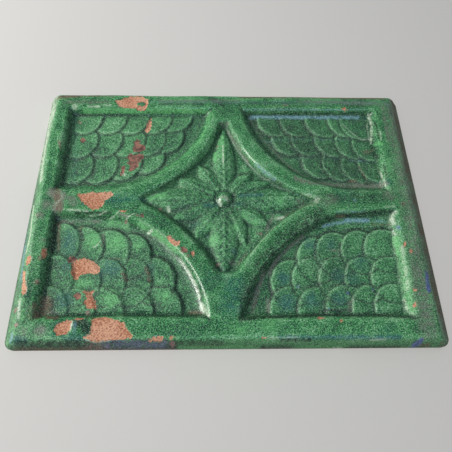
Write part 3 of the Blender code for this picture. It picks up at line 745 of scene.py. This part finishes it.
        (0.2, 0.8, 190, 268, 197, 281, 204, 298), (0.5, 1.6, 261, 233), (0.6, 1.4, 218, 265),
        (0.5, 1, 61, 148, 59, 141), (0.6, 1, 217, 146), (0.8, 1.4, 88, 312), (0.5, 1.2, 424, 338),
        (0.5, 0.6, 282, 105, 290, 105.6), (0.5, 1.4, 80, 122), (0.4, 1, 250, 242), (0.4, 2, 40, 258),
        (0.5, 1, 169, 236, 178, 244), (0.6, 1.2, 160, 209),
    ),
    "violet": (
        (1, 1.3, 427, 273, 429, 290), (1, 1.4, 414, 345.6, 421, 341), (0.4, 1.2, 388, 106),
        (0.3, 1.6, 83, 203), (0.35, 2.6, 234, 251), (0.5, 1.2, 348, 293), (0.5, 1, 373, 289),
        (0.35, 2.6, 105, 345, 165, 345), (0.5, 2, 398, 228), (0.3, 1, 207, 236), (0.5, 1.2, 415, 207),
    ),
}
# Where the glaze has gone dull, so that no light glints on it, as strokes of the same kind.
DULLED = (
    (1, 3.5, 398, 222, 404, 270, 409, 312), (0.8, 2, 229, 118, 234, 135, 241, 147),
    (0.8, 2, 257, 166, 270, 177, 290, 190), (0.9, 2.2, 33, 222, 27, 255, 20, 300, 14, 338),
    (0.6, 2, 140, 222, 165, 243, 176, 254), (1, 2, 310, 200, 320, 197), (1, 2, 235, 199),
    (0.7, 4, 390, 213), (0.9, 2.4, 52, 108, 45, 150, 36, 200, 33, 222), (0.8, 3, 20, 345, 440, 345),
)


def traced(strokes):
    """Strength of the strongest of several soft strokes at every place in the plan."""
    total = np.zeros_like(plan_x)
    for strength, reach, *pixels in strokes:
        places = places_at(pixels)
        for start, end in zip(places, places[1:] or places):
            total = np.maximum(total, strength * swell(line_distance(start, end), 0, reach))
    return total


# One mask for each layer of strokes: stains and dirt, and painted shade, highlights and reflections.
stains_and_painted_light = {name: traced(strokes) for name, strokes in STROKES.items()}
# The left edge is pale where the glaze ran thin over it, most of all in its far half. The right one is brown
# and grey with dirt. Both are dull, and so are the panels and the field, away from their walls.
LEAN_FROM = 0.8
LEAN_RUN = 1.6
LEFT_PALE = 0.22
LEFT_PALE_FAR = 0.4
FAR_HALF_FROM = 5
FAR_HALF_RUN = 40
RIGHT_BROWN = 0.6
RIGHT_GREY = 0.5
PANEL_DULL_FROM = 4.5
PANEL_DULL_RUN = 1.5
FIELD_DULLNESS = 0.85
FIELD_DULL_FROM = 1.0
FIELD_DULL_RUN = 1.2
LEFT_DULLNESS = 0.8
on_lean = smooth_step((rim_height - LEAN_FROM - relief) / LEAN_RUN)
left_patches = 0.8 + 0.4 * rough_waviness(plan_x, plan_y, 9, 61)
left_lean = on_lean * (plan_x < LEFT_LEAN - half_width) * left_patches
right_patches = 0.8 + 0.5 * rough_waviness(plan_x, plan_y, 7, 71)
right_lean = on_lean * (plan_x > half_width - RIGHT_LEAN) * right_patches
far_half = smooth_step((plan_y - FAR_HALF_FROM) / FAR_HALF_RUN)
stains_and_painted_light["pale_glaze_and_highlights"] = np.maximum(stains_and_painted_light["pale_glaze_and_highlights"], left_lean * (LEFT_PALE + LEFT_PALE_FAR * far_half))
stains_and_painted_light["brown"] = np.maximum(stains_and_painted_light["brown"], RIGHT_BROWN * right_lean)
stains_and_painted_light["grey"] = np.maximum(stains_and_painted_light["grey"], RIGHT_GREY * right_lean)
dulled = np.maximum(traced(DULLED), smooth_step((in_panel - PANEL_DULL_FROM) / PANEL_DULL_RUN))
field_dulled = FIELD_DULLNESS * smooth_step((in_field - FIELD_DULL_FROM) / FIELD_DULL_RUN)
dulled = np.maximum(dulled, field_dulled * (from_middle > BOSS_RADIUS))
dulled = np.maximum(dulled, np.maximum(LEFT_DULLNESS * left_lean, right_lean))

# Where the glaze has pooled dark in the hollows and worn pale on the raised forms.
# Each is full at these heights below or above the relief around it, taken wide and fine.
POOLED_WIDE = 1.1
POOLED_FINE = 0.25
WORN_WIDE = 1.0
WORN_FINE = 0.22
pooled = np.clip(hollowness / POOLED_WIDE + fine_hollowness / POOLED_FINE, 0, 1)
worn = np.clip(-hollowness / WORN_WIDE - fine_hollowness / WORN_FINE, 0, 1)

# The back and the feet of the edges: bare red clay, smoothed flat with wet fingers and dried on a board.
# Nothing shows of it in the picture, so it is plain.
BACK_EVERY = 4
FOOT_RINGS = ((0.15, 2.0), (0.1, 0.9), (0.35, 0.25), (0.8, 0.0))
GLAZED_RINGS = 3
FINGER_DEPTH = 0.35
FINGER_WIDTH = 15.0
FINGER_MARGIN = 6
FINGER_RUN = 10


def squares(numbers):
    """Faces between the neighbours in a grid of point numbers."""
    corners = numbers[:-1, :-1], numbers[:-1, 1:], numbers[1:, 1:], numbers[1:, :-1]
    return np.stack([corner.ravel() for corner in corners], 1)


count_x, count_y = COLUMNS + 1, ROWS + 1
points = [np.stack([plan_x.ravel(), plan_y.ravel(), relief.ravel()], 1)]
number = np.arange(count_x * count_y).reshape(count_y, count_x)
faces = [squares(number)]
rim_loop = np.concatenate([number[0, :-1], number[:-1, -1], number[-1, :0:-1], number[:0:-1, 0]])
rim_x, rim_y = plan_x.ravel()[rim_loop], plan_y.ravel()[rim_loop]
made = count_x * count_y
loop = rim_loop
for drawn_in, height in FOOT_RINGS:
    ring = made + np.arange(len(rim_loop))
    scale_x, scale_y = 1 - drawn_in / half_width, 1 - drawn_in / half_depth
    points.append(np.stack([rim_x * scale_x, rim_y * scale_y, np.full(len(ring), height)], 1))
    faces.append(np.stack([ring, np.roll(ring, -1), np.roll(loop, -1), loop], 1))
    made += len(ring)
    loop = ring

back_x = (plan_x * scale_x)[::BACK_EVERY, ::BACK_EVERY]
back_y = (plan_y * scale_y)[::BACK_EVERY, ::BACK_EVERY]
turned_x = 0.8 * back_x + 0.6 * back_y
finger_turn = 2 * math.pi * turned_x / FINGER_WIDTH + 2 * waviness(back_x, back_y, 40, 41)
finger_marks = 0.5 + 0.5 * np.sin(finger_turn)
to_side = np.minimum(half_width - np.abs(back_x), half_depth - np.abs(back_y))
back_z = FINGER_DEPTH * finger_marks * smooth_step((to_side - FINGER_MARGIN) / FINGER_RUN)
back_z *= 0.6 + 0.4 * waviness(back_x, back_y, 25, 42)
inner = np.stack([back_x[1:-1, 1:-1].ravel(), back_y[1:-1, 1:-1].ravel(), back_z[1:-1, 1:-1].ravel()], 1)
points.append(inner)
back_rows, back_columns = back_x.shape
back_number = np.empty((back_rows, back_columns), int)
back_number[1:-1, 1:-1] = made + np.arange(len(inner)).reshape(back_rows - 2, back_columns - 2)
coarse_loop = loop[::BACK_EVERY]
side_a, side_b = back_columns - 1, back_rows - 1
back_number[0, :-1] = coarse_loop[:side_a]
back_number[:-1, -1] = coarse_loop[side_a:side_a + side_b]
back_number[-1, :0:-1] = coarse_loop[side_a + side_b:2 * side_a + side_b]
back_number[:0:-1, 0] = coarse_loop[2 * side_a + side_b:]
back_faces = squares(back_number)[:, [0, 3, 2, 1]]
side_of = {}
for position, vertex in enumerate(coarse_loop):
    side_of[int(vertex)] = position


def with_fine_rim(face):
    """Corners of a back face, with the finer points of the rim put in where it borders on it."""
    corners = []
    for start, end in zip(face, np.roll(face, -1)):
        corners.append(int(start))
        first, second = side_of.get(int(start)), side_of.get(int(end))
        if first is not None and second is not None and (first - second) % len(coarse_loop) == 1:
            fine = [loop[(second * BACK_EVERY + step) % len(loop)] for step in range(1, BACK_EVERY)]
            corners.extend(int(vertex) for vertex in reversed(fine))
    return corners


mesh = bpy.data.meshes.new("tile_relief")
all_points = np.concatenate(points)
all_faces = np.concatenate(faces).tolist() + [with_fine_rim(face) for face in back_faces]
mesh.from_pydata((all_points * MM).tolist(), [], all_faces)
mesh.validate()
tile = bpy.data.objects.new("glazed_tile", mesh)
bpy.context.scene.collection.objects.link(tile)
mesh.shade_smooth()

for name, values in {
    "bare": bare, "rusty": rusty, "pooled": pooled, "worn": worn,
    "scale_rim_wear_and_highlight": scale_rim_wear_and_highlight, "scale_gap_shade": scale_gap_shade, "dulled": dulled, **stains_and_painted_light,
}.items():
    attribute = mesh.attributes.new(name, "FLOAT", "POINT")
    flat = values.ravel()
    filled = np.zeros(len(all_points), np.float32)
    filled[:flat.size] = flat
    filled[flat.size:flat.size + len(FOOT_RINGS) * len(rim_loop)] = np.tile(flat[rim_loop], len(FOOT_RINGS))
    attribute.data.foreach_set("value", filled)
slots = np.zeros(len(mesh.polygons), np.int32)
slots[len(faces[0]) + GLAZED_RINGS * len(rim_loop):] = 1
mesh.polygons.foreach_set("material_index", slots)

# The materials of the tile: fired clay, which shows in the chips and on the back, and the green glaze.
# The glaze runs from dark to pale in a fine speckle. The stains, the painted shade, highlights and
# reflections, the rust and the bare clay lie over it.
CLAY = (0.36, 0.145, 0.074, 1)
CLAY_LIGHT = (0.54, 0.29, 0.18, 1)
CLAY_DARK = (0.20, 0.070, 0.038, 1)
GLAZE_PALE = (0.27, 0.45, 0.28, 1)
GLAZE_BRIGHT = (0.046, 0.255, 0.070, 1)
GLAZE_MIDDLE = (0.020, 0.115, 0.046, 1)
GLAZE_DARK = (0.007, 0.042, 0.024, 1)
GLAZE_DEEP = (0.004, 0.018, 0.012, 1)
RUST = (0.24, 0.115, 0.08, 1)
RUST_DARK = (0.10, 0.050, 0.038, 1)
DIRT = (0.075, 0.065, 0.05, 1)
# Colours of the stroke layers: stains and dirt, and also painted shade, painted highlights and painted
# reflections.
STAIN_AND_LIGHT_COLOURS = {
    "bright_glaze_and_lit_walls": (0.10, 0.36, 0.12, 1), "teal": (0.013, 0.108, 0.082, 1), "painted_shade_and_dark_glaze": GLAZE_DEEP,
    "grey": (0.13, 0.14, 0.11, 1), "brown": (0.12, 0.075, 0.045, 1), "pale_glaze_and_highlights": (0.42, 0.52, 0.38, 1),
    "sky_reflection": (0.14, 0.28, 0.32, 1), "rose": (0.26, 0.12, 0.12, 1), "violet": (0.09, 0.11, 0.30, 1),
}
# How fine each pattern is: the higher the number, the finer.
CLAY_PATCHES = 55
CLAY_GRIT = 1000
SOOT_PATCHES = 130
GLAZE_CLOUDS = 30
GLAZE_PATCHES = 140
GLAZE_SPECKLE = 1150
GLAZE_FLECKS = 1600
STROKE_BREAKS = 420
RUST_PATCHES = 330
RAGGED_EDGE = 640
# Each tint comes in between two levels of a pattern, up to a strength.
CLAY_TINTS = ((0.51, 0.58, 0.8, CLAY_DARK), (0.48, 0.41, 0.95, CLAY_LIGHT))
GLAZE_TINTS = (
    (0.42, 0.49, 1.0, GLAZE_MIDDLE), (0.48, 0.545, 1.0, GLAZE_BRIGHT), (0.55, 0.63, 0.85, GLAZE_PALE),
)
FLECK_TINTS = ((0.52, 0.62, 0.8, GLAZE_DEEP), (0.46, 0.36, 0.5, GLAZE_PALE))
# What each form adds: dark where the glaze pooled, painted shade in the gaps of the scales, and pale on
# their rims, partly wear and partly a painted highlight.
FORM_TINTS = (("pooled", 0.55, GLAZE_DEEP), ("scale_rim_wear_and_highlight", 0.22, GLAZE_PALE), ("scale_gap_shade", 0.8, GLAZE_DEEP))
# The shade of the glaze is a sum of its patterns, each with its share.
PATCH_SHARE = 0.22
CLOUD_SHARE = 0.20
SPECKLE_SHARE = 0.68
SHADE_DROP = 0.05
WORN_SHARE = 0.04
# How far the edges of the chips stray, and how matt the surfaces are.
RAGGED_REACH = 4.6
CLAY_ROUGHNESS = 0.9
CLAY_SHINE = 0.3
DULL_ROUGHNESS = 0.7
DIRT_MATT = 0.6
GLAZE_IOR = 1.45


def add(tree, kind, settings=None, **inputs):
    """Adds a node with its settings and its inputs, by name or as _0 by number, and links the sockets."""
    node = tree.nodes.new(kind)
    for name, value in (settings or {}).items():
        setattr(node, name, value)
    for name, value in inputs.items():
        socket = node.inputs[int(name[1:])] if name[0] == "_" else node.inputs[name.replace("_", " ")]
        if isinstance(value, bpy.types.NodeSocket):
            tree.links.new(value, socket)
        else:
            socket.default_value = value
    return node


def noise(tree, place, scale, detail=3.0, roughness=0.55):
    """Cloudy pattern around 0.5."""
    return add(
        tree, "ShaderNodeTexNoise", Vector=place, Scale=scale, Detail=detail, Roughness=roughness
    ).outputs["Fac"]


def ramp(tree, value, low, high, to_low=0.0, to_high=1.0):
    """Soft rise from one value to another between two levels."""
    return add(
        tree, "ShaderNodeMapRange", {"interpolation_type": "SMOOTHSTEP"},
        Value=value, From_Min=low, From_Max=high, To_Min=to_low, To_Max=to_high,
    ).outputs["Result"]


def mixed(tree, share, first, second):
    """Colour between two colours, the second in full where the share is 1."""
    return add(tree, "ShaderNodeMix", {"data_type": "RGBA"}, _0=share, _6=first, _7=second).outputs[2]


def tinted(tree, colour, pattern, tints):
    """Colour with one tint after another laid over it where the pattern is high or low."""
    for low, high, strength, tint in tints:
        colour = mixed(tree, ramp(tree, pattern, low, high, 0.0, strength), colour, tint)
    return colour


def blend(tree, share, first, second):
    """Value between two values, in the same way."""
    return add(tree, "ShaderNodeMix", _0=share, _2=first, _3=second).outputs[0]


def calc(tree, operation, first, second):
    """One step of arithmetic with two values."""
    return add(tree, "ShaderNodeMath", {"operation": operation}, _0=first, _1=second).outputs[0]


def painted(tree, name):
    """Strength of a stain, a form or a stroke of painted light or shade at each point, as laid on the mesh.
    """
    return add(tree, "ShaderNodeAttribute", {"attribute_name": name}).outputs["Fac"]


clay_group = bpy.data.node_groups.new("fired clay", "ShaderNodeTree")
clay_group.interface.new_socket("Place", in_out="INPUT", socket_type="NodeSocketVector")
clay_group.interface.new_socket("Soot", in_out="INPUT", socket_type="NodeSocketFloat")
clay_group.interface.new_socket("Colour", in_out="OUTPUT", socket_type="NodeSocketColor")
clay_group.interface.new_socket("Height", in_out="OUTPUT", socket_type="NodeSocketFloat")
given = clay_group.nodes.new("NodeGroupInput").outputs
result = clay_group.nodes.new("NodeGroupOutput").inputs
tree = clay_group
place = given["Place"]
patches = noise(tree, place, CLAY_PATCHES)
grit = noise(tree, place, CLAY_GRIT, 3.0, 0.8)
colour = mixed(tree, ramp(tree, patches, 0.35, 0.65), CLAY, CLAY_LIGHT)
colour = tinted(tree, colour, grit, CLAY_TINTS)
soot_patches = ramp(tree, noise(tree, place, SOOT_PATCHES), 0.3, 0.6)
colour = mixed(tree, calc(tree, "MULTIPLY", given["Soot"], soot_patches), colour, DIRT)
tree.links.new(colour, result["Colour"])
tree.links.new(grit, result["Height"])

clay = bpy.data.materials.new("fired_clay")
clay.use_nodes = True
tree = clay.node_tree
shader = tree.nodes["Principled BSDF"]
place = add(tree, "ShaderNodeTexCoord").outputs["Object"]
fired = add(tree, "ShaderNodeGroup", {"node_tree": clay_group}, Place=place, Soot=0.55)
tree.links.new(fired.outputs["Colour"], shader.inputs["Base Color"])
shader.inputs["Roughness"].default_value = CLAY_ROUGHNESS
shader.inputs["Specular IOR Level"].default_value = CLAY_SHINE
bump = add(tree, "ShaderNodeBump", Strength=0.5, Distance=0.0004, Height=fired.outputs["Height"])
tree.links.new(bump.outputs["Normal"], shader.inputs["Normal"])

glaze = bpy.data.materials.new("green_glaze")
glaze.use_nodes = True
tree = glaze.node_tree
shader = tree.nodes["Principled BSDF"]
place = add(tree, "ShaderNodeTexCoord").outputs["Object"]
clouds = noise(tree, place, GLAZE_CLOUDS, 3.0)
patchy = noise(tree, place, GLAZE_PATCHES, 4.0, 0.6)
speckle = noise(tree, place, GLAZE_SPECKLE, 3.0, 0.8)
fleck = noise(tree, place, GLAZE_FLECKS, 2.0, 0.7)

shade = calc(tree, "MULTIPLY", patchy, PATCH_SHARE)
shade = calc(tree, "ADD", shade, calc(tree, "MULTIPLY", clouds, CLOUD_SHARE))
shade = calc(tree, "ADD", shade, calc(tree, "MULTIPLY", speckle, SPECKLE_SHARE))
shade = calc(tree, "SUBTRACT", shade, SHADE_DROP)
shade = calc(tree, "ADD", shade, calc(tree, "MULTIPLY", painted(tree, "worn"), WORN_SHARE))
colour = tinted(tree, GLAZE_DARK, shade, GLAZE_TINTS)
for name, strength, tint in FORM_TINTS:
    colour = mixed(tree, calc(tree, "MULTIPLY", painted(tree, name), strength), colour, tint)
# Stains, painted shade, painted highlights and painted reflections are laid over the glaze, broken up by a
# fine pattern.
breaks = ramp(tree, noise(tree, place, STROKE_BREAKS, 4.0, 0.7), 0.36, 0.60, 0.55, 1.25)
for name, layer_colour in STAIN_AND_LIGHT_COLOURS.items():
    strength = ramp(tree, calc(tree, "MULTIPLY", painted(tree, name), breaks), 0.06, 0.75, 0.0, 0.95)
    colour = mixed(tree, strength, colour, layer_colour)
colour = tinted(tree, colour, fleck, FLECK_TINTS)

ragged = calc(tree, "SUBTRACT", noise(tree, place, RAGGED_EDGE, 4.0, 0.75), 0.5)
ragged = calc(tree, "MULTIPLY", ragged, RAGGED_REACH)
rusted = ramp(tree, calc(tree, "ADD", painted(tree, "rusty"), ragged), -0.1, 0.1)
rust = mixed(tree, ramp(tree, noise(tree, place, RUST_PATCHES), 0.42, 0.6), RUST, RUST_DARK)
colour = mixed(tree, rusted, colour, rust)
fired = add(tree, "ShaderNodeGroup", {"node_tree": clay_group}, Place=place, Soot=0.0)
chip = ramp(tree, calc(tree, "ADD", painted(tree, "bare"), ragged), -0.08, 0.08)
colour = mixed(tree, chip, colour, fired.outputs["Colour"])
tree.links.new(colour, shader.inputs["Base Color"])

dirty = calc(tree, "MAXIMUM", painted(tree, "brown"), painted(tree, "grey"))
matt = calc(tree, "MAXIMUM", calc(tree, "MAXIMUM", chip, rusted), calc(tree, "MULTIPLY", dirty, DIRT_MATT))
sheen = ramp(tree, patchy, 0.35, 0.7, 0.14, 0.32)
sheen = blend(tree, painted(tree, "dulled"), sheen, DULL_ROUGHNESS)
tree.links.new(blend(tree, matt, sheen, CLAY_ROUGHNESS), shader.inputs["Roughness"])
shader.inputs["IOR"].default_value = GLAZE_IOR
ripples = calc(tree, "ADD", calc(tree, "MULTIPLY", speckle, 0.5), calc(tree, "MULTIPLY", patchy, 0.9))
height = blend(tree, chip, ripples, fired.outputs["Height"])
bump = add(tree, "ShaderNodeBump", Strength=0.45, Distance=0.0005, Height=height)
tree.links.new(bump.outputs["Normal"], shader.inputs["Normal"])

mesh.materials.append(glaze)
mesh.materials.append(clay)
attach(tile, "root")
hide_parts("tile")

# The setting: a plain pale floor and soft light, the brightest of it low from the left.
# Each lamp lights the tile or the floor alone, and the world adds a faint even light.
FLOOR_REACH = 4.0
FLOOR_COLOUR = (0.80, 0.79, 0.77, 1)
FLOOR_ROUGHNESS = 0.85
FLOOR_GAP = 0.0003
floor_mesh = bpy.data.meshes.new("floor")
reach = FLOOR_REACH / 2
floor_corners = [(-reach, -reach, 0), (reach, -reach, 0), (reach, reach, 0), (-reach, reach, 0)]
floor_mesh.from_pydata(floor_corners, [], [(0, 1, 2, 3)])
floor = bpy.data.objects.new("floor", floor_mesh)
floor.location.z = -FLOOR_GAP
floor_paint = bpy.data.materials.new("floor")
floor_paint.use_nodes = True
floor_shader = floor_paint.node_tree.nodes["Principled BSDF"]
floor_shader.inputs["Base Color"].default_value = FLOOR_COLOUR
floor_shader.inputs["Roughness"].default_value = FLOOR_ROUGHNESS
floor_mesh.materials.append(floor_paint)
bpy.context.scene.collection.objects.link(floor)


def soft_light(name, place, size, power, colour, lit, shadows=True):
    """Square lamp at a place in metres, turned to the tile, that lights only this object."""
    lamp = bpy.data.lights.new(name, "AREA")
    lamp.shape = "RECTANGLE"
    lamp.size, lamp.size_y = size
    lamp.energy = power
    lamp.color = colour
    lamp.use_shadow = shadows
    item = bpy.data.objects.new(name, lamp)
    item.location = place
    item.rotation_euler = (-Vector(place)).to_track_quat("-Z", "Y").to_euler()
    bpy.context.scene.collection.objects.link(item)
    item.visible_glossy = shadows
    reached = bpy.data.collections.new("lit by " + name)
    reached.objects.link(lit)
    item.light_linking.receiver_collection = reached


WARM = (1.0, 0.98, 0.95)
soft_light("near pane", (-1.20, -0.16, 0.80), (0.34, 0.6), 15, WARM, tile)
soft_light("far pane", (-1.20, 0.26, 0.80), (0.34, 0.6), 15, WARM, tile)
soft_light("skylight", (0.16, -0.42, 1.5), (0.5, 0.35), 5, (0.45, 0.7, 1.0), tile)
soft_light("room", (1.2, -0.5, 0.8), (1.0, 1.0), 2.5, (0.95, 0.97, 1.0), tile, False)
soft_light("floor wash", (-1.0, 0.15, 0.76), (0.6, 0.6), 14.5, (1.0, 0.985, 0.96), floor, False)

world = bpy.data.worlds.new("room")
world.use_nodes = True
world.node_tree.nodes["Background"].inputs["Color"].default_value = (0.92, 0.95, 1.0, 1)
world.node_tree.nodes["Background"].inputs["Strength"].default_value = 0.25
bpy.context.scene.world = world
bpy.context.scene.view_settings.view_transform = "Standard"
